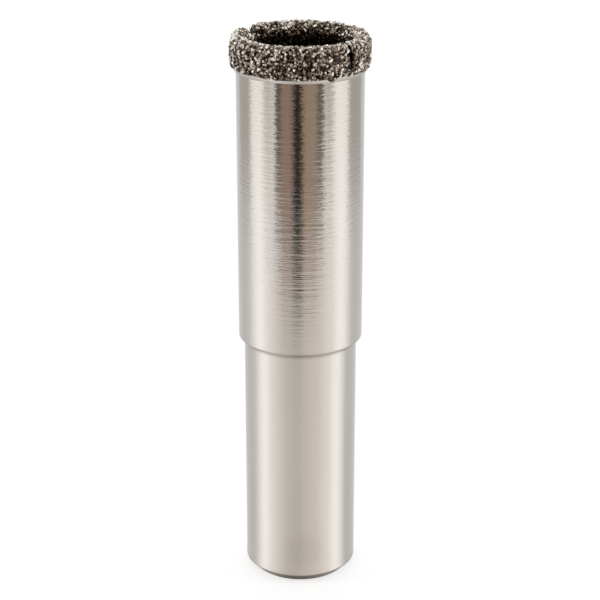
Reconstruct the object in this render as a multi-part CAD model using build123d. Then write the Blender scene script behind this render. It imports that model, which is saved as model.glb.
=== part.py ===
"""A 12 mm diamond core bit: a turned steel body whose hollow nose wears a brazed coat of diamond grit.

The bit stands on the end of its shank. Z is the axis of rotation, and z = 0 is the shank's end.
All lengths are in millimetres and all angles in degrees.
"""

import os
import random
from math import cos, dist, radians, sin, sqrt, tan

from build123d import *

# --- Driving sizes --------------------------------------------------------

# Shank: the plain end that the chuck holds
shank_diameter = 10.0
shank_length = 22.7
shank_chamfer = 0.8

# Barrel: the hollow part that follows the crown into the hole
barrel_diameter = 11.0
barrel_length = 26.7
barrel_edge_chamfer = 0.2
barrel_wall = 0.7
bore_depth = 24.4
drill_point_angle = 118.0

# Slots across the barrel's rim, which let water in and swarf out
slot_count = 4
first_slot_angle = 45.0
slot_width = 1.2
slot_depth = 2.0

# Bond: the brazed coat that wraps the rim and holds the grit
bond_length = 2.55
bond_lip = 0.06
bond_taper = 0.45
bond_outside = 0.44
bond_inside = 0.2
bond_over_rim = 0.55
bond_waist = 0.1
shoulder_drop = 0.6

# Gap: the narrow channel that the bond leaves open along each slot
gap_width = 0.35
gap_floor = 0.5

# Grit: one layer of separate diamond crystals
crystal_size = 0.38
crystal_stand = 0.16
crystal_spacing = 0.01
corner_swing = 15.0
least_share = 0.75
tip_share = 0.4
strewing_attempts = 16000
grit_seed = 12

# --- Sizes that follow ----------------------------------------------------

shank_radius = shank_diameter / 2
barrel_radius = barrel_diameter / 2
bore_radius = barrel_radius - barrel_wall
rim_z = shank_length + barrel_length
bore_floor_z = rim_z - bore_depth
drill_point_z = bore_floor_z - bore_radius / tan(radians(drill_point_angle / 2))
slot_floor_z = rim_z - slot_depth
slot_pitch_angle = 360.0 / slot_count
slot_angles = [first_slot_angle + slot_pitch_angle * turn for turn in range(slot_count)]

bond_outer_radius = barrel_radius + bond_outside
bond_inner_radius = bore_radius - bond_inside
crest_z = rim_z + bond_over_rim
shoulder_z = crest_z - shoulder_drop
bond_foot_z = rim_z - bond_length
wall_foot_z = bond_foot_z + bond_taper
gap_floor_z = slot_floor_z + gap_floor

crystal_pitch = crystal_size + crystal_spacing


def turned(half_section, arc=360.0):
    """The solid that a half section, drawn as (radius, height), sweeps about the axis."""
    return revolve(Plane.XZ * half_section, Axis.Z, arc)


def steel_body():
    """Shank and barrel: turned and bored as one piece, with the slots milled across the rim."""
    outline = Polyline(
        (0, 0),
        (shank_radius - shank_chamfer, 0),
        (shank_radius, shank_chamfer),
        (shank_radius, shank_length),
        (barrel_radius - barrel_edge_chamfer, shank_length),
        (barrel_radius, shank_length + barrel_edge_chamfer),
        (barrel_radius, rim_z),
        (bore_radius, rim_z),
        (bore_radius, bore_floor_z),
        (0, drill_point_z),
        close=True,
    )
    body = turned(make_face(outline))
    slot = Pos(barrel_radius, 0, rim_z) * Box(barrel_radius, slot_width, 2 * slot_depth)
    for angle in slot_angles:
        body -= Rot(0, 0, angle) * slot
    return body


def grit_path():
    """The line of the bond's section that bears the grit: outer wall, over the crest, inner wall."""
    outer_foot = (bond_outer_radius - bond_waist, wall_foot_z)
    outer_shoulder = (bond_outer_radius, shoulder_z)
    inner_shoulder = (bond_inner_radius, shoulder_z)
    inner_foot = (bond_inner_radius + bond_waist, wall_foot_z)
    half_width = (bond_outer_radius - bond_inner_radius) / 2
    under_crest = (bond_inner_radius + half_width, shoulder_z)
    over_rim = EllipticalCenterArc(under_crest, half_width, shoulder_drop, arc_size=180)
    outer_wall = TangentArc(outer_shoulder, outer_foot, tangent=-(over_rim % 0))
    inner_wall = TangentArc(inner_shoulder, inner_foot, tangent=over_rim % 1)
    return Wire([outer_wall.reversed(True), over_rim, inner_wall])


def bond_section():
    """The coat's whole half section, closed through the steel of the rim.

    Below the grit the coat tapers, outside and inside, to a thin lip.
    """
    path = grit_path()
    outer_lip = (barrel_radius + bond_lip, bond_foot_z)
    inner_lip = (bore_radius - bond_lip, bond_foot_z)
    foot = Polyline(path @ 1, inner_lip, outer_lip, path @ 0)
    return make_face([*path.edges(), *foot.edges()])


def bond(body):
    """The coat: a ring of the whole section, less the steel within it and the open gaps."""
    ring = turned(bond_section()) - body
    height = 2 * (crest_z - gap_floor_z)
    gap = Pos(bond_outer_radius, 0, gap_floor_z + height / 2) * Box(bond_outer_radius, gap_width, height)
    for angle in slot_angles:
        ring -= Rot(0, 0, angle) * gap
    return ring


def polar_point(radius, angle, height):
    """The point at that radius, angle and height about Z."""
    return (radius * cos(radians(angle)), radius * sin(radians(angle)), height)


def crystal(chance):
    """What stands proud of one crystal: an uneven form of one to three tips on a four-cornered base."""
    reach = crystal_size / 2
    points = []
    for corner in range(4):
        swing = chance.uniform(-corner_swing, corner_swing)
        points.append(polar_point(reach * chance.uniform(least_share, 1), 90 * corner + swing, 0))
    tip_count = chance.randint(1, 3)
    first_tip_angle = chance.uniform(0, 360)
    for tip in range(tip_count):
        angle = first_tip_angle + 360 * tip / tip_count
        points.append(polar_point(reach * tip_share, angle, crystal_stand * chance.uniform(least_share, 1)))
    return Rot(0, 0, chance.uniform(0, 360)) * ConvexPolyhedron(points)


def over_gap(radius, height, angle):
    """Whether a crystal centred there would reach into one of the open gaps."""
    off_slot = (angle - first_slot_angle) % slot_pitch_angle
    across = radius * sin(radians(min(off_slot, slot_pitch_angle - off_slot)))
    return height > gap_floor_z - crystal_size / 2 and across < (gap_width + crystal_size) / 2


def strewn_spots(path, chance):
    """Random spots on the bond as (share of the path, angle), clear of each other and of the gaps."""
    margin = crystal_size / 2 / path.length
    spots = []
    places = []
    for attempt in range(strewing_attempts):
        along = chance.uniform(margin, 1 - margin)
        angle = chance.uniform(0, 360)
        radius, height = (path @ along).X, (path @ along).Y
        place = polar_point(radius, angle, height)
        crowded = any(dist(place, other) < crystal_pitch for other in places)
        if not crowded and not over_gap(radius, height, angle):
            spots.append((along, angle))
            places.append(place)
    return spots


def seat(path, along):
    """The plane, at angle 0, on which a crystal's base lies flat against the bond.

    The inner wall is hollow, so there the base is lifted until its corners just clear the wall.
    """
    heading = path % along
    outward = Vector(heading.Y, -heading.X)
    point = path @ along
    hollow = point.X - sqrt(point.X**2 - (crystal_size / 2) ** 2)
    return Plane.XZ * Plane(origin=point + outward * hollow * max(0, -outward.X), z_dir=outward)


def diamond_grit():
    """One layer of crystals over the outer wall, the crest and the inner wall of the bond."""
    chance = random.Random(grit_seed)
    path = grit_path()
    spots = strewn_spots(path, chance)
    return Compound([Rot(0, 0, angle) * seat(path, along) * crystal(chance) for along, angle in spots])


def save(name, part):
    """Write one piece to its own STEP file."""
    export_step(part, os.path.join("parts", name + ".step"))


if __name__ == "__main__":
    os.makedirs("parts", exist_ok=True)
    body = steel_body()
    save("steel_body", body)
    save("bond", bond(body))
    save("diamond_grit", diamond_grit())
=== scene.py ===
"""A 12 mm diamond core bit on a white table: satin turned steel under a crown of brazed diamond grit."""

import math

import bmesh
import bpy
import numpy as np
from mathutils import Matrix, Vector, noise


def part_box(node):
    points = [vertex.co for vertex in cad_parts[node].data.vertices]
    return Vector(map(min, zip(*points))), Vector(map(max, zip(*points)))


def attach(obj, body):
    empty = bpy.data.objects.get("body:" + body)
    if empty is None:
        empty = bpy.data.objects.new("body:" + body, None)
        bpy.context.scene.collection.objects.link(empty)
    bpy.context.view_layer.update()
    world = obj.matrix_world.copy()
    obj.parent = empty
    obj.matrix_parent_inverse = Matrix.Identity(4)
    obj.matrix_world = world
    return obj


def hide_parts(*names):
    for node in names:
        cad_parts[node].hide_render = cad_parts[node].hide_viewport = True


MM = 0.001

# Camera, fitted to the outlines of the bit: it looks down at the crown from close by
CAMERA_BACK = 144.6 * MM
CAMERA_HEIGHT = 80.9 * MM
CAMERA_DOWN = 20.8
CAMERA_LENS = 104.07
CAMERA_SENSOR = 36.0
CAMERA_SHIFT = -0.0006

# World: its strength as light, and where the camera or the metal looks at it
WORLD_AS_LIGHT = 0.35
WORLD_SEEN = 1.0

# Azimuths of lamps, cards, glow, tint and marks: 0 is the camera's side, 90 the right, in degrees

# Lamps, as (name, azimuth, height, distance, width, tall, watts), with lengths in metres
LAMPS = [
    ("left_light", -82, 0.2, 0.5, 0.15, 0.6, 0.3),
    ("right_light", 80, 0.2, 0.5, 0.15, 0.6, 0.3),
    ("top_light", 180, 0.6, 0.2, 0.16, 0.16, 0.12),
]
LAMP_AIM = 30 * MM

# Standing cards that only reflections see, as (name, start and end azimuth, distance in metres,
# colour, share of the width over which each upright edge fades). The nearer hide the farther
CARDS = [
    ("side_left", -107, -58, 0.16, (1.3, 1.27, 1.23), 0.5),
    ("side_right", 58, 106, 0.16, (1.34, 1.31, 1.27), 0.5),
    ("rear_left", -143, -93, 0.125, (0.62, 0.60, 0.57), 0.25),
    ("rear_right", 87, 143, 0.125, (0.60, 0.58, 0.55), 0.25),
    ("grey_left", -77, -41, 0.145, (0.72, 0.70, 0.66), 0.5),
    ("grey_right", 38, 65, 0.145, (0.62, 0.60, 0.56), 0.5),
    ("edge_left", -47.5, -28, 0.115, (0.105, 0.091, 0.072), 0.3),
    ("edge_right", 24.5, 44, 0.115, (0.165, 0.132, 0.112), 0.3),
    ("brown_left", -35, -11, 0.09, (0.41, 0.29, 0.235), 0.1),
    ("brown_right", 0, 30, 0.09, (0.475, 0.355, 0.27), 0.1),
    ("dark_centre", -17.5, 8, 0.081, (0.02, 0.013, 0.007), 0.35),
]
CARD_TOP = 0.5
CARD_STEPS = 24

# Table: half its side in metres, its white to the camera and in the metal, and how far out, in
# millimetres, and how dark the painted shadow in the wedge under the end of the shank is
FLOOR_HALF = 1.5
FLOOR_WHITE = 0.68
FLOOR_IN_METAL = 0.47
CONTACT_REACH = 1.2
CONTACT_DARK = 0.25

# What the metal shows of the table besides, by the azimuth it reflects: a painted glow toward the side
# lamps, and a painted reflection tint that is a little warmer toward the camera
FLOOR_GLOW = [
    (-180, 0.0),
    (-125, 0.0),
    (-110, 0.12),
    (-100, 0.37),
    (-90, 0.64),
    (-80, 0.78),
    (-70, 0.62),
    (-62, 0.45),
    (-50, 0.31),
    (-40, 0.19),
    (-30, 0.08),
    (-15, 0.0),
    (-2, 0.0),
    (6, 0.06),
    (20, 0.13),
    (35, 0.19),
    (50, 0.36),
    (62, 0.45),
    (70, 0.64),
    (80, 0.76),
    (90, 0.64),
    (100, 0.35),
    (110, 0.04),
    (125, 0.0),
    (180, 0.0),
]
FLOOR_TINT = [
    (-180, (1.0, 1.0, 1.0)),
    (-75, (1.0, 1.0, 1.0)),
    (-30, (1.07, 1.0, 0.93)),
    (35, (1.07, 1.0, 0.93)),
    (80, (1.0, 1.0, 1.0)),
    (180, (1.0, 1.0, 1.0)),
]

# Turned body, in millimetres and degrees. EDGE is how far its sharp edges are softened
SHANK_RADIUS = 5.0
SHANK_CHAMFER = 0.8
STEP_HEIGHT = 22.7
BARREL_CHAMFER = 0.2
BARREL_WALL = 0.7
BORE_FLOOR = 25.0
DRILL_POINT = 118
EDGE = 0.06
BODY_SEGMENTS = 256
SLOT_TURNS = (45, 135, 225, 315)
SLOT_WIDTH = 1.2
SLOT_DEPTH = 2.0
SLOT_MARGIN = 0.5

# Steel: its colour where clean, where grimy and in painted shade, and how it spreads a reflection
STEEL_COLOR = (0.55, 0.522, 0.49)
GRIME_AND_SHADE_COLOR = (0.16, 0.13, 0.11)
STEEL_ROUGHNESS = 0.15
STEEL_ANISOTROPY = 0.6

# Turning lines: noise drawn out round the axis, as its (scale round, scale up) per metre, and how
# high the lines stand, in metres
COARSE_LINES = (240, 4200)
FINE_LINES = (800, 9000)
FINE_SHARE = 0.22
LINE_BUMP = 0.000016
RAGGED_STROKES = (2600, 17000)
RAGGED = 0.3

# Finish up the bit, as (height in mm, value): depth of the turning lines, and how clean and unshaded the
# metal is, with painted shade on the shank's end chamfer and round the step
RULER = 50.0
LINE_DEPTHS = [
    (0, 0.08),
    (22.6, 0.08),
    (22.8, 0.45),
    (27, 0.85),
    (30, 1.15),
    (35, 1.15),
    (39, 1.0),
    (50, 1.0),
]
# Painted shade: dark bands on the shank's end chamfer and in the corner under the barrel's step
PAINTED_SHADE_BANDS = [
    (0.0, 0.3),
    (0.75, 0.5),
    (0.95, 1.0),
    (22.3, 1.0),
    (22.52, 0.5),
    (22.65, 0.36),
    (22.85, 0.6),
    (23.0, 1.0),
    (50, 1.0),
]

# Specks and one faint stain on the shank, as (azimuth, height, radius, how clean)
MARKS = [
    (20.8, 17.3, 0.09, 0.45),
    (40.2, 20.5, 0.08, 0.45),
    (-12.0, 6.2, 0.06, 0.45),
    (-118.0, 9.5, 0.09, 0.45),
    (150.0, 14.0, 0.07, 0.45),
    (4.0, 3.4, 2.4, 0.9),
]

# Crown, in millimetres. Its turns are in degrees from the +X axis, and a pair (start, end) is the
# height or radius over which a change sets in
BOND_VOXEL = 0.085
BOND_LUMPS = 4.0
BOND_ROUGHNESS = 0.035
LIP_FOOT = 46.98
LIP_TOP = 47.4
LIP_SOFT = 0.12
LIP_WANDER = 0.14
LIP_WAVES = 3.5
DRIP_TURN = -63.5
DRIP_WIDTH = 3
DRIP_DROP = 0.3
CREST_LEAN = 0.09
LEAN_HEIGHTS = (49.2, 49.95)
SHOULDER_WORN = 0.13
WORN_HEIGHTS = (48.9, 49.5)
WORN_RADII = (5.45, 5.8)

# Painted light and tone on the crown: painted shade down the hollow, patchy tone all over
HOLLOW_LIGHT = 0.12
HOLLOW_HEIGHTS = (48.5, 49.45)
HOLLOW_RADII = (4.7, 5.0)
PATCHES = 0.3
PATCH_WAVES = 0.75

# Gaps kept clear of grit, as (turn, width, drop of the crest, its reach before and after the gap):
# front right, rear right and rear left. The fourth is clogged
OPEN_GAPS = [
    (-44.5, 0.5, 0.1, 0.4, 0.4),
    (38, 0.3, 0.15, 0.4, 0.4),
    (141.5, 0.3, 0.45, 0.35, 1.7),
]
GAP_OPENS = 5.0
GAP_FLOOR = 48.0
GAP_WAVES = 2.2
DROP_HEIGHTS = (48.6, 49.9)

# Grains: how many, their forms and sizes, how far they sit in or out, and where the bond is in the open
GRAIN_SEED = 5
GRAIN_COUNT = 6400
GRAIN_FORMS = 24
FORM_JITTER = 0.16
FORM_STRETCH = (0.75, 1.15)
GRAIN_LEAST = 0.12
GRAIN_MOST = 0.31
GRAIN_SIZE_BETA = (1.6, 2.4)
GRAIN_SEAT = (-0.25, 0.18)
OUTER_WALL = 5.62
INNER_WALL = 4.72
CREST_ABOVE = 49.6
GRAIN_TONE = 0.95
# Painted highlight: grains up on the crest are made lighter, over these heights
PAINTED_CREST_SHINE = 0.4
SHINE_HEIGHTS = (49.2, 49.75)


def mesh_object(name, vertices, faces, smooth_shaded):
    """A new object from plain lists, in the scene."""
    mesh = bpy.data.meshes.new(name)
    mesh.from_pydata([tuple(v) for v in vertices], [], [tuple(f) for f in faces])
    mesh.polygons.foreach_set("use_smooth", [smooth_shaded] * len(mesh.polygons))
    mesh.update()
    made = bpy.data.objects.new(name, mesh)
    bpy.context.scene.collection.objects.link(made)
    return made


def new_material(name):
    """A material with its Principled shader, and the node tree to wire them in."""
    material = bpy.data.materials.new(name)
    material.use_nodes = True
    tree = material.node_tree
    return material, tree, tree.nodes["Principled BSDF"]


def node(tree, kind, **settings):
    """Add a node; settings that name an input set its value, the others set a property."""
    made = tree.nodes.new(kind)
    for key, value in settings.items():
        if key in made.inputs:
            made.inputs[key].default_value = value
        else:
            setattr(made, key, value)
    return made


def maths(tree, operation, first, second):
    """One maths node on two sockets or numbers."""
    made = node(tree, "ShaderNodeMath", operation=operation)
    for socket, value in zip(made.inputs, (first, second)):
        if isinstance(value, (int, float)):
            socket.default_value = value
        else:
            tree.links.new(value, socket)
    return made.outputs[0]


def ramp(tree, source, stops):
    """A colour ramp over that socket, from (position, colour) stops."""
    made = node(tree, "ShaderNodeValToRGB")
    elements = made.color_ramp.elements
    while len(elements) < len(stops):
        elements.new(0.5)
    for element, (position, color) in zip(elements, stops):
        element.position = position
        element.color = (*color, 1)
    tree.links.new(source, made.inputs["Fac"])
    return made.outputs["Color"]


def grey(value):
    """A colour of three equal shares."""
    return (value, value, value)


def dress(target, material):
    """Give every face of the object that one material."""
    target.data.materials.clear()
    target.data.materials.append(material)


def look_from_the_front():
    """The camera at the photograph's angle."""
    data = bpy.data.cameras.new("camera")
    data.lens = CAMERA_LENS
    data.sensor_width = CAMERA_SENSOR
    data.shift_x = CAMERA_SHIFT
    data.clip_start = 0.001
    data.clip_end = 10
    camera = bpy.data.objects.new("camera", data)
    camera.location = (0, -CAMERA_BACK, CAMERA_HEIGHT)
    camera.rotation_euler = (math.radians(90 - CAMERA_DOWN), 0, 0)
    bpy.context.scene.collection.objects.link(camera)
    bpy.context.scene.camera = camera


def seen_in_metal(tree):
    """1 for what a reflection or a refraction looks at, otherwise 0."""
    rays = node(tree, "ShaderNodeLightPath")
    return maths(tree, "MAXIMUM", rays.outputs["Is Glossy Ray"], rays.outputs["Is Transmission Ray"])


def seen_white(tree):
    """1 wherever the camera, a reflection or a refraction looks at it, otherwise 0."""
    rays = node(tree, "ShaderNodeLightPath")
    return maths(tree, "MAXIMUM", rays.outputs["Is Camera Ray"], seen_in_metal(tree))


def light_world():
    """White to the eye and in reflections, soft grey as light."""
    world = bpy.data.worlds.new("studio")
    bpy.context.scene.world = world
    world.use_nodes = True
    tree = world.node_tree
    background = tree.nodes["Background"]
    background.inputs["Color"].default_value = (1, 1, 1, 1)
    glow = seen_white(tree)
    strength = node(tree, "ShaderNodeMapRange")
    strength.inputs["To Min"].default_value = WORLD_AS_LIGHT
    strength.inputs["To Max"].default_value = WORLD_SEEN
    tree.links.new(glow, strength.inputs["Value"])
    tree.links.new(strength.outputs[0], background.inputs["Strength"])


def reflected_azimuth(tree):
    """The azimuth in which the shank reflects this place on the table: 0 is -180 degrees, 1 is 180.

    A ray that the shank turns by some angle has met it at half that angle, so it starts a little
    aside of the axis. Three rounds settle that.
    """
    place = node(tree, "ShaderNodeNewGeometry")
    parts = node(tree, "ShaderNodeSeparateXYZ")
    tree.links.new(place.outputs["Position"], parts.inputs[0])
    aside = parts.outputs["X"]
    front = maths(tree, "MULTIPLY", parts.outputs["Y"], -1)
    azimuth = maths(tree, "ARCTAN2", aside, front)
    aside_squared = maths(tree, "MULTIPLY", aside, aside)
    squares = maths(tree, "ADD", aside_squared, maths(tree, "MULTIPLY", front, front))
    near = maths(tree, "DIVIDE", SHANK_RADIUS * MM, maths(tree, "SQRT", squares, 0))
    turned = azimuth
    for _ in range(3):
        met = maths(tree, "SINE", maths(tree, "MULTIPLY", turned, 0.5), 0)
        offset = maths(tree, "MULTIPLY", near, met)
        turned = maths(tree, "ADD", azimuth, maths(tree, "ARCSINE", offset, 0))
    return maths(tree, "ADD", maths(tree, "DIVIDE", turned, 2 * math.pi), 0.5)


def painted_side_glow(tree, turn):
    """Painted light: how much brighter the table is made toward the side lamps, seen only in reflections.
    """
    return ramp(tree, turn, [(azimuth / 360 + 0.5, grey(glow)) for azimuth, glow in FLOOR_GLOW])


def painted_warm_tint(tree, turn):
    """The table's colour in the metal: a painted reflection tint, a little warmer toward the camera's side.
    """
    return ramp(tree, turn, [(azimuth / 360 + 0.5, tint) for azimuth, tint in FLOOR_TINT])


def clear_of_painted_shadow(tree):
    """Painted shadow: dark in the wedge under the end of the shank, 1 from a little way out."""
    place = node(tree, "ShaderNodeNewGeometry")
    reach = node(tree, "ShaderNodeVectorMath", operation="LENGTH")
    tree.links.new(place.outputs["Position"], reach.inputs[0])
    fade = node(tree, "ShaderNodeMapRange", interpolation_type="SMOOTHSTEP")
    fade.inputs["From Min"].default_value = SHANK_RADIUS * MM
    fade.inputs["From Max"].default_value = (SHANK_RADIUS + CONTACT_REACH) * MM
    fade.inputs["To Min"].default_value = CONTACT_DARK
    tree.links.new(reach.outputs["Value"], fade.inputs["Value"])
    return fade.outputs["Result"]


def table_material():
    """White that keeps a faint shadow, and in the metal a table with a painted glow toward the side lamps,
    a painted warm tint and a painted shadow under the end of the shank.
    """
    material, tree, shader = new_material("white_table")
    shader.inputs["Base Color"].default_value = (0.8, 0.8, 0.8, 1)
    shader.inputs["Roughness"].default_value = 0.9
    shader.inputs["Specular IOR Level"].default_value = 0.0
    rays = node(tree, "ShaderNodeLightPath")
    white = maths(tree, "MULTIPLY", rays.outputs["Is Camera Ray"], FLOOR_WHITE)
    turn = reflected_azimuth(tree)
    shown = maths(tree, "ADD", painted_side_glow(tree, turn), FLOOR_IN_METAL)
    # Painted shadow under the end of the shank, in what the metal shows of the table
    shown = maths(tree, "MULTIPLY", shown, clear_of_painted_shadow(tree))
    metal = seen_in_metal(tree)
    tint = node(tree, "ShaderNodeMix", data_type="RGBA")
    tree.links.new(metal, tint.inputs["Factor"])
    tint.inputs["A"].default_value = (1, 1, 1, 1)
    tree.links.new(painted_warm_tint(tree, turn), tint.inputs["B"])
    tree.links.new(tint.outputs["Result"], shader.inputs["Emission Color"])
    strength = maths(tree, "ADD", white, maths(tree, "MULTIPLY", metal, shown))
    tree.links.new(strength, shader.inputs["Emission Strength"])
    return material


def lay_floor():
    """The table, a plain square under the bit."""
    half = FLOOR_HALF
    corners = [(-half, -half, 0), (half, -half, 0), (half, half, 0), (-half, half, 0)]
    floor = mesh_object("floor", corners, [(0, 1, 2, 3)], False)
    dress(floor, table_material())


def softbox(name, azimuth, height, distance, width, tall, watts):
    """An area light that faces the bit."""
    data = bpy.data.lights.new(name, "AREA")
    data.shape = "RECTANGLE"
    data.size = width
    data.size_y = tall
    data.energy = watts
    lamp = bpy.data.objects.new(name, data)
    angle = math.radians(azimuth)
    lamp.location = (distance * math.sin(angle), -distance * math.cos(angle), height)
    aim = Vector((0, 0, LAMP_AIM)) - lamp.location
    lamp.rotation_euler = aim.to_track_quat("-Z", "Y").to_euler()
    bpy.context.scene.collection.objects.link(lamp)


def card_material(name, color, soft):
    """Plain light of that colour, fading to nothing at the card's upright edges."""
    material, tree, shader = new_material(name)
    across = node(tree, "ShaderNodeAttribute", attribute_name="edge")
    fade = node(tree, "ShaderNodeMapRange", interpolation_type="SMOOTHSTEP")
    fade.inputs["From Max"].default_value = soft
    tree.links.new(across.outputs["Fac"], fade.inputs["Value"])
    glow = node(tree, "ShaderNodeEmission", Color=(*color, 1))
    clear = node(tree, "ShaderNodeBsdfTransparent")
    mix = node(tree, "ShaderNodeMixShader")
    tree.links.new(fade.outputs["Result"], mix.inputs["Fac"])
    tree.links.new(clear.outputs[0], mix.inputs[1])
    tree.links.new(glow.outputs[0], mix.inputs[2])
    tree.links.new(mix.outputs[0], tree.nodes["Material Output"].inputs["Surface"])
    tree.nodes.remove(shader)
    return material


def card(name, start, end, distance, color, soft):
    """A standing card that only reflections see: an arc round the bit between two azimuths."""
    vertices, edges = [], []
    for step in range(CARD_STEPS + 1):
        angle = math.radians(start + (end - start) * step / CARD_STEPS)
        x, y = distance * math.sin(angle), -distance * math.cos(angle)
        vertices += [(x, y, 0), (x, y, CARD_TOP)]
        edges += [min(step, CARD_STEPS - step) / CARD_STEPS] * 2
    faces = [(2 * s, 2 * s + 2, 2 * s + 3, 2 * s + 1) for s in range(CARD_STEPS)]
    made = mesh_object(name, vertices, faces, False)
    edge = made.data.attributes.new("edge", "FLOAT", "POINT")
    edge.data.foreach_set("value", edges)
    dress(made, card_material(name, color, soft))
    made.visible_camera = False
    made.visible_diffuse = False
    made.visible_shadow = False
    made.visible_transmission = False


def ring_noise(tree, place, scales):
    """Noise drawn out into strokes round the axis, from its (scale round, scale up) per metre."""
    round_scale, up_scale = scales
    stretch = node(tree, "ShaderNodeMapping", Scale=(round_scale, round_scale, up_scale))
    tree.links.new(place, stretch.inputs["Vector"])
    strokes = node(tree, "ShaderNodeTexNoise", Scale=1.0, Detail=3.0, Roughness=0.6)
    tree.links.new(stretch.outputs["Vector"], strokes.inputs["Vector"])
    return strokes.outputs[0]


def by_height(tree, place, stops):
    """A value that follows the height up the bit, from (millimetres, value) stops."""
    parts = node(tree, "ShaderNodeSeparateXYZ")
    tree.links.new(place, parts.inputs[0])
    up = maths(tree, "DIVIDE", parts.outputs["Z"], RULER * MM)
    return ramp(tree, up, [(height / RULER, grey(value)) for height, value in stops])


def speck(tree, place, azimuth, height, radius, least):
    """1 on clean metal, less within one mark on the shank."""
    angle = math.radians(azimuth)
    spot = Vector((SHANK_RADIUS * math.sin(angle), -SHANK_RADIUS * math.cos(angle), height)) * MM
    away = node(tree, "ShaderNodeVectorMath", operation="DISTANCE")
    tree.links.new(place, away.inputs[0])
    away.inputs[1].default_value = spot
    edge = node(tree, "ShaderNodeMapRange", interpolation_type="SMOOTHSTEP")
    edge.inputs["From Min"].default_value = radius * MM / 3
    edge.inputs["From Max"].default_value = radius * MM
    edge.inputs["To Min"].default_value = least
    tree.links.new(away.outputs["Value"], edge.inputs["Value"])
    return edge.outputs["Result"]


def clean_and_unshaded(tree, place):
    """1 on clean metal, less in the painted shade bands at the shank's end and round the step, and in the
    marks.
    """
    spots = [speck(tree, place, *mark) for mark in MARKS]
    clean = spots[0]
    for spot in spots[1:]:
        clean = maths(tree, "MINIMUM", clean, spot)
    return maths(tree, "MULTIPLY", by_height(tree, place, PAINTED_SHADE_BANDS), clean)


def turning_lines(tree, place, depth):
    """The normal of rings round the axis, coarse and fine ones together."""
    coarse = ring_noise(tree, place, COARSE_LINES)
    fine = ring_noise(tree, place, FINE_LINES)
    height = maths(tree, "ADD", coarse, maths(tree, "MULTIPLY", fine, FINE_SHARE))
    bump = node(tree, "ShaderNodeBump", Strength=1.0, Distance=LINE_BUMP)
    tree.links.new(maths(tree, "MULTIPLY", height, depth), bump.inputs["Height"])
    return bump.outputs["Normal"]


def ragged_normal(tree, place, normal, tangent, depth):
    """Swing the normal a little round the axis, stroke by stroke, so that reflections have ragged edges."""
    strokes = ring_noise(tree, place, RAGGED_STROKES)
    swing = maths(tree, "MULTIPLY", maths(tree, "SUBTRACT", strokes, 0.5), depth)
    push = node(tree, "ShaderNodeVectorMath", operation="SCALE")
    tree.links.new(tangent, push.inputs[0])
    tree.links.new(maths(tree, "MULTIPLY", swing, RAGGED), push.inputs["Scale"])
    bent = node(tree, "ShaderNodeVectorMath", operation="ADD")
    tree.links.new(normal, bent.inputs[0])
    tree.links.new(push.outputs[0], bent.inputs[1])
    unit = node(tree, "ShaderNodeVectorMath", operation="NORMALIZE")
    tree.links.new(bent.outputs[0], unit.inputs[0])
    return unit.outputs[0]


def steel_material():
    """Satin turned steel: fine rings round the axis, faint stains, painted shade at the shank's end and
    round the step, soft upright reflections.
    """
    material, tree, shader = new_material("turned_steel")
    place = node(tree, "ShaderNodeTexCoord").outputs["Object"]
    tangent = node(tree, "ShaderNodeTangent", direction_type="RADIAL", axis="Z").outputs["Tangent"]
    tree.links.new(tangent, shader.inputs["Tangent"])
    depth = by_height(tree, place, LINE_DEPTHS)
    rings = turning_lines(tree, place, depth)
    tree.links.new(ragged_normal(tree, place, rings, tangent, depth), shader.inputs["Normal"])
    # The steel turns toward this colour in the painted shade bands and in the real specks and stain
    tint = node(tree, "ShaderNodeMix", data_type="RGBA")
    tree.links.new(clean_and_unshaded(tree, place), tint.inputs["Factor"])
    tint.inputs["A"].default_value = (*GRIME_AND_SHADE_COLOR, 1)
    tint.inputs["B"].default_value = (*STEEL_COLOR, 1)
    tree.links.new(tint.outputs["Result"], shader.inputs["Base Color"])
    shader.inputs["Metallic"].default_value = 1.0
    shader.inputs["Roughness"].default_value = STEEL_ROUGHNESS
    shader.inputs["Anisotropic"].default_value = STEEL_ANISOTROPY
    shader.inputs["Anisotropic Rotation"].default_value = 0.25
    return material


def turned_mesh(name, outline, segments):
    """A closed lathe mesh from (radius, height) points in millimetres; radius 0 closes an end."""
    vertices, rings = [], []
    for radius, height in outline:
        ring = []
        for step in range(1 if radius == 0 else segments):
            angle = 2 * math.pi * step / segments
            ring.append(len(vertices))
            vertices.append((radius * math.cos(angle) * MM, radius * math.sin(angle) * MM, height * MM))
        rings.append(ring)
    faces = []
    for below, above in zip(rings, rings[1:]):
        for step in range(segments):
            following = (step + 1) % segments
            if len(below) == 1:
                faces.append((below[0], above[following], above[step]))
            elif len(above) == 1:
                faces.append((below[step], below[following], above[0]))
            else:
                faces.append((below[step], below[following], above[following], above[step]))
    return mesh_object(name, vertices, faces, True)


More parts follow.
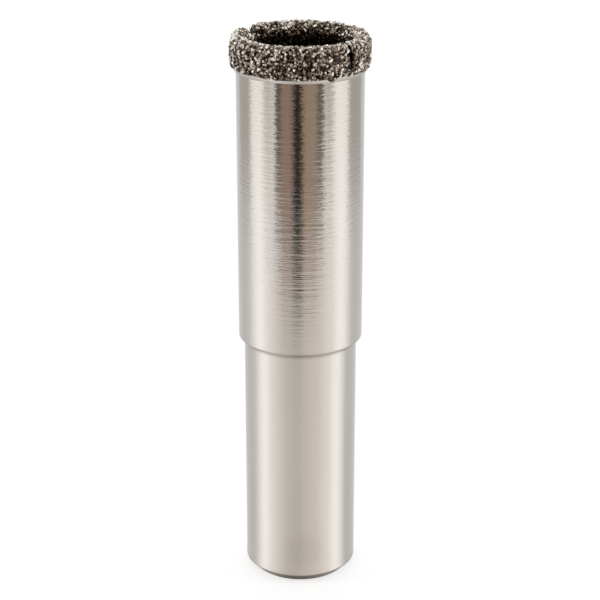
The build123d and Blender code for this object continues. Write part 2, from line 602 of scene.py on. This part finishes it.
def steel_outline():
    """The turned body's profile, from the middle of its lower end round to the bottom of its bore."""
    _, high = (np.array(corner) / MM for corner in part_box("steel_body"))
    outer, top = high[0], high[2]
    bore = outer - BARREL_WALL
    below_slots = top - SLOT_DEPTH - EDGE
    tip = BORE_FLOOR - bore / math.tan(math.radians(DRILL_POINT / 2))
    return [
        (0, 0),
        (SHANK_RADIUS - SHANK_CHAMFER - EDGE, 0),
        (SHANK_RADIUS - SHANK_CHAMFER + EDGE / 2, EDGE / 2),
        (SHANK_RADIUS - EDGE / 2, SHANK_CHAMFER - EDGE / 2),
        (SHANK_RADIUS, SHANK_CHAMFER + EDGE),
        (SHANK_RADIUS, STEP_HEIGHT - EDGE / 2),
        (SHANK_RADIUS + EDGE / 2, STEP_HEIGHT),
        (outer - BARREL_CHAMFER - EDGE / 2, STEP_HEIGHT),
        (outer - BARREL_CHAMFER + EDGE / 3, STEP_HEIGHT + EDGE / 3),
        (outer - EDGE / 3, STEP_HEIGHT + BARREL_CHAMFER - EDGE / 3),
        (outer, STEP_HEIGHT + BARREL_CHAMFER + EDGE / 2),
        (outer, below_slots),
        (outer, top - EDGE / 2),
        (outer - EDGE / 2, top),
        (bore + EDGE / 2, top),
        (bore, top - EDGE / 2),
        (bore, below_slots),
        (bore, BORE_FLOOR),
        (0, tip),
    ]


def slot_cutters():
    """Four blocks where the slots cross the rim, as one mesh."""
    _, high = (np.array(corner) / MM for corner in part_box("steel_body"))
    inner, outer = high[0] - BARREL_WALL - SLOT_MARGIN, high[0] + SLOT_MARGIN
    bottom, top = high[2] - SLOT_DEPTH, high[2] + SLOT_MARGIN
    vertices, faces = [], []
    for turn in SLOT_TURNS:
        ahead = Vector((math.cos(math.radians(turn)), math.sin(math.radians(turn)), 0))
        aside = Vector((-ahead.y, ahead.x, 0)) * SLOT_WIDTH / 2
        first = len(vertices)
        for height in (bottom, top):
            up = Vector((0, 0, height))
            vertices += [(p + up) * MM for p in (ahead * inner - aside, ahead * outer - aside)]
            vertices += [(p + up) * MM for p in (ahead * outer + aside, ahead * inner + aside)]
        sides = [(0, 3, 2, 1), (4, 5, 6, 7), (0, 1, 5, 4), (1, 2, 6, 5), (2, 3, 7, 6), (3, 0, 4, 7)]
        faces += [tuple(first + corner for corner in side) for side in sides]
    return mesh_object("slot_cutters", vertices, faces, False)


def cut_slots(body):
    """Cut the slots into the body's mesh for good."""
    cutters = slot_cutters()
    cut = body.modifiers.new("slots", "BOOLEAN")
    cut.operation = "DIFFERENCE"
    cut.solver = "EXACT"
    cut.object = cutters
    graph = bpy.context.evaluated_depsgraph_get()
    body.data = bpy.data.meshes.new_from_object(body.evaluated_get(graph))
    body.modifiers.remove(cut)
    bpy.data.objects.remove(cutters)


def make_body():
    """Shank, barrel, bore and slots as one fine lathe mesh."""
    body = turned_mesh("turned_body", steel_outline(), BODY_SEGMENTS)
    cut_slots(body)
    normals = body.modifiers.new("face_normals", "WEIGHTED_NORMAL")
    normals.weight = 100
    dress(body, steel_material())
    return body


def metal_by_shade(name, stops, roughness):
    """A metal whose colour follows the mesh's own shade, from (shade, colour) stops."""
    material, tree, shader = new_material(name)
    shade = node(tree, "ShaderNodeAttribute", attribute_name="shade")
    tree.links.new(ramp(tree, shade.outputs["Fac"], stops), shader.inputs["Base Color"])
    shader.inputs["Metallic"].default_value = 1.0
    shader.inputs["Roughness"].default_value = roughness
    return material


def bond_material():
    """As-brazed metal with painted shade: near black in the pits between grains and down the hollow, dull
    grey on the lumps.
    """
    stops = [
        (0.35, (0.012, 0.008, 0.006)),
        (0.6, (0.06, 0.05, 0.042)),
        (0.8, (0.25, 0.23, 0.21)),
        (1.0, (0.5, 0.465, 0.43)),
    ]
    return metal_by_shade("brazed_metal", stops, 0.38)


def grain_material():
    """Coated diamond: from near-black grains to bright ones, more of the dark, with painted shade down the
    hollow and a painted highlight on the crest.
    """
    stops = [
        (0.0, (0.012, 0.008, 0.006)),
        (0.2, (0.085, 0.066, 0.050)),
        (0.5, (0.345, 0.285, 0.230)),
        (0.78, (0.88, 0.81, 0.725)),
        (1.0, (1.0, 0.98, 0.94)),
    ]
    return metal_by_shade("diamond_grain", stops, 0.3)


def remeshed_bond():
    """The bond's own solid as an even net of small faces, in millimetres."""
    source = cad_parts["bond"]
    copy = bpy.data.objects.new("bond_copy", source.data.copy())
    bpy.context.scene.collection.objects.link(copy)
    copy.data.transform(Matrix.Scale(1 / MM, 4))
    remesh = copy.modifiers.new("even", "REMESH")
    remesh.mode = "VOXEL"
    remesh.voxel_size = BOND_VOXEL
    graph = bpy.context.evaluated_depsgraph_get()
    mesh = bpy.data.meshes.new_from_object(copy.evaluated_get(graph))
    bpy.data.objects.remove(copy)
    return mesh


def read_vectors(collection, key, count):
    """A mesh collection's vectors as one array, count rows of three."""
    flat = np.empty(count * 3)
    collection.foreach_get(key, flat)
    return flat.reshape(count, 3)


def smooth(value, start, end):
    """0 before the start, 1 after the end, and a smooth rise between."""
    share_done = np.clip((value - start) / (end - start), 0, 1)
    return share_done * share_done * (3 - 2 * share_done)


def noise_at(places, waves):
    """Smooth noise about 0 at each place, finer with more waves."""
    return np.array([noise.noise(Vector(place) * waves) for place in places])


def open_to_light(places):
    """How much light reaches each place, as painted shade: full outside and on the crest, little down the
    inner wall.
    """
    radius = np.hypot(places[:, 0], places[:, 1])
    inside = 1 - smooth(radius, *HOLLOW_RADII)
    lit = HOLLOW_LIGHT + (1 - HOLLOW_LIGHT) * smooth(places[:, 2], *HOLLOW_HEIGHTS)
    return 1 - inside * (1 - lit)


def lip_edge(places):
    """Where the grit begins above the smooth lip: a wandering edge, with one drip of braze."""
    turn = np.arctan2(places[:, 1], places[:, 0])
    round_the_lip = [(LIP_WAVES * math.cos(t), LIP_WAVES * math.sin(t), 0) for t in turn]
    drip = np.exp(-(((turn - math.radians(DRIP_TURN)) / math.radians(DRIP_WIDTH)) ** 2))
    return LIP_TOP + LIP_WANDER * noise_at(round_the_lip, 1) - DRIP_DROP * drip


def patchy(places):
    """Slow changes of tone over the crown, about 1."""
    return 1 + PATCHES * noise_at(places, PATCH_WAVES)


def beside_gap(places, turn):
    """How far out along the gap and how far to its side each place lies."""
    angle = math.radians(turn)
    along = places[:, 0] * math.cos(angle) + places[:, 1] * math.sin(angle)
    across = places[:, 1] * math.cos(angle) - places[:, 0] * math.sin(angle)
    return along, across


def in_gap(places):
    """Which places lie over the narrow gaps that the grit leaves open, with a wavy edge."""
    hidden = np.zeros(len(places), bool)
    wave = 1 + 0.5 * noise_at(places, GAP_WAVES)
    for turn, width, *_ in OPEN_GAPS:
        along, across = beside_gap(places, turn)
        over_gap = np.abs(across) < width / 2 * wave
        hidden |= over_gap & (along > GAP_OPENS) & (places[:, 2] > GAP_FLOOR)
    return hidden


def round_corners(places):
    """Lean the crest outward, wear its outer shoulder, and round it down at the open gaps."""
    radius = np.hypot(places[:, 0], places[:, 1])
    lean = CREST_LEAN * smooth(places[:, 2], *LEAN_HEIGHTS)
    worn = SHOULDER_WORN * smooth(places[:, 2], *WORN_HEIGHTS) * smooth(radius, *WORN_RADII)
    places[:, :2] *= (1 + (lean - worn) / radius)[:, None]
    for turn, _, drop, before, after in OPEN_GAPS:
        along, across = beside_gap(places, turn)
        reach = np.where(across < 0, before, after)
        near = (1 - smooth(np.abs(across) / reach, 0.1, 1)) * (along > 0)
        places[:, 2] -= drop * near * smooth(places[:, 2], *DROP_HEIGHTS)


def make_bond():
    """The braze between the grains: the bond's solid with a lumpy skin over a smooth lip."""
    mesh = remeshed_bond()
    count = len(mesh.vertices)
    places = read_vectors(mesh.vertices, "co", count)
    normals = read_vectors(mesh.vertices, "normal", count)
    lumps = np.array([noise.fractal(Vector(p) * BOND_LUMPS, 0.8, 2.0, 3) for p in places])
    edge = lip_edge(places)
    rough = smooth(places[:, 2], edge - LIP_SOFT, edge)
    tone = mesh.attributes.new("shade", "FLOAT", "POINT")
    # Painted shade: darker in the low places between the lumps and down the hollow, lighter on the lumps
    painted_pit_shade = (0.5 + 0.5 * lumps) * open_to_light(places) * patchy(places)
    tone.data.foreach_set("value", rough * painted_pit_shade + (1 - rough))
    places += normals * (rough * lumps * BOND_ROUGHNESS)[:, None]
    round_corners(places)
    places[:, 2] = np.maximum(places[:, 2], LIP_FOOT)
    mesh.vertices.foreach_set("co", (places * MM).ravel())
    mesh.polygons.foreach_set("use_smooth", [True] * len(mesh.polygons))
    mesh.update()
    made = bpy.data.objects.new("brazed_bond", mesh)
    bpy.context.scene.collection.objects.link(made)
    dress(made, bond_material())
    return made


def crystal_form(chance):
    """A blunt crystal about one unit across: the hull of the middles of a cube's edges, pushed about."""
    middles = [p for p in np.ndindex(3, 3, 3) if sum(abs(np.array(p) - 1)) == 2]
    corners = np.array(middles) - 1.0
    corners = corners / 2.0 + chance.uniform(-FORM_JITTER, FORM_JITTER, corners.shape)
    corners *= chance.uniform(*FORM_STRETCH, 3)
    work = bmesh.new()
    for corner in corners:
        work.verts.new(corner)
    bmesh.ops.convex_hull(work, input=work.verts)
    for inner in [v for v in work.verts if not v.link_faces]:
        work.verts.remove(inner)
    work.verts.index_update()
    bmesh.ops.recalc_face_normals(work, faces=work.faces)
    vertices = np.array([v.co for v in work.verts])
    faces = np.array([[v.index for v in f.verts] for f in work.faces])
    work.free()
    return vertices, faces


def exposed_spots(mesh, chance, count):
    """Random spots on the bond where it is open to the air: places and outward directions."""
    total = len(mesh.polygons)
    centres = read_vectors(mesh.polygons, "center", total) / MM
    normals = read_vectors(mesh.polygons, "normal", total)
    areas = np.empty(total)
    mesh.polygons.foreach_get("area", areas)
    radius = np.hypot(centres[:, 0], centres[:, 1])
    open_air = (radius > OUTER_WALL) | (radius < INNER_WALL) | (centres[:, 2] > CREST_ABOVE)
    open_air &= centres[:, 2] > lip_edge(centres)
    weights = areas * open_air * ~in_gap(centres)
    picks = chance.choice(total, size=count, p=weights / weights.sum())
    return centres[picks], normals[picks]


def one_grain(chance, form_vertices, place, direction):
    """One crystal's corners, of its own size and turned its own way, seated at that spot."""
    size = GRAIN_LEAST + (GRAIN_MOST - GRAIN_LEAST) * chance.beta(*GRAIN_SIZE_BETA)
    turn, _ = np.linalg.qr(chance.normal(size=(3, 3)))
    turn *= np.sign(np.linalg.det(turn))
    spot = place + direction * size * chance.uniform(*GRAIN_SEAT)
    return (form_vertices * size) @ turn.T + spot


def pull_inside(vertices):
    """Bring what stands out past the CAD's own grit back to its widest radius and its top."""
    low, high = (np.array(corner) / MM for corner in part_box("diamond_grit"))
    widest = min(high[0], high[1], -low[0], -low[1])
    radius = np.hypot(vertices[:, 0], vertices[:, 1])
    vertices[:, :2] *= np.minimum(1.0, widest / radius)[:, None]
    vertices[:, 2] = np.minimum(vertices[:, 2], high[2])


def make_grit(bond):
    """Thousands of separate grains over the bond, each turned and tinted by itself, with painted shade down
    the hollow and a painted highlight on the crest.
    """
    chance = np.random.default_rng(GRAIN_SEED)
    forms = [crystal_form(chance) for _ in range(GRAIN_FORMS)]
    places, outward = exposed_spots(bond.data, chance, GRAIN_COUNT)
    # Painted shade down the hollow, times a patchy tone
    tones = open_to_light(places) * patchy(places) * GRAIN_TONE
    vertices, faces, shades = [], [], []
    offset = 0
    for place, direction, tone in zip(places, outward, tones):
        form_vertices, form_faces = forms[chance.integers(len(forms))]
        vertices.append(one_grain(chance, form_vertices, place, direction))
        faces.append(form_faces + offset)
        # Painted highlight: lighter grains up on the crest
        shine = PAINTED_CREST_SHINE * smooth(place[2], *SHINE_HEIGHTS)
        shades += [chance.uniform() ** (1 - shine) * tone] * len(form_faces)
        offset += len(form_vertices)
    vertices = np.concatenate(vertices)
    pull_inside(vertices)
    made = mesh_object("diamond_grains", vertices * MM, np.concatenate(faces), False)
    shade = made.data.attributes.new("shade", "FLOAT", "FACE")
    shade.data.foreach_set("value", shades)
    dress(made, grain_material())
    return made


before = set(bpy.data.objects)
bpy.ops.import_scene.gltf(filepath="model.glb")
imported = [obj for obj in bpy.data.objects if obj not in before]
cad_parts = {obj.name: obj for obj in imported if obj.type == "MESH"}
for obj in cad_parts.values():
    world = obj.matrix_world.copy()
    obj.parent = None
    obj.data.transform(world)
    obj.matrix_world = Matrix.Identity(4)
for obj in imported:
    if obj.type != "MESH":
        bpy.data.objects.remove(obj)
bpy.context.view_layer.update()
look_from_the_front()
light_world()
lay_floor()
for lamp in LAMPS:
    softbox(*lamp)
for strip in CARDS:
    card(*strip)

body = make_body()
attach(body, "root")
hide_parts("steel_body")
bond = make_bond()
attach(bond, "root")
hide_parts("bond")
grit = make_grit(bond)
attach(grit, "root")
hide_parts("diamond_grit")

bpy.context.scene.view_settings.view_transform = "Standard"
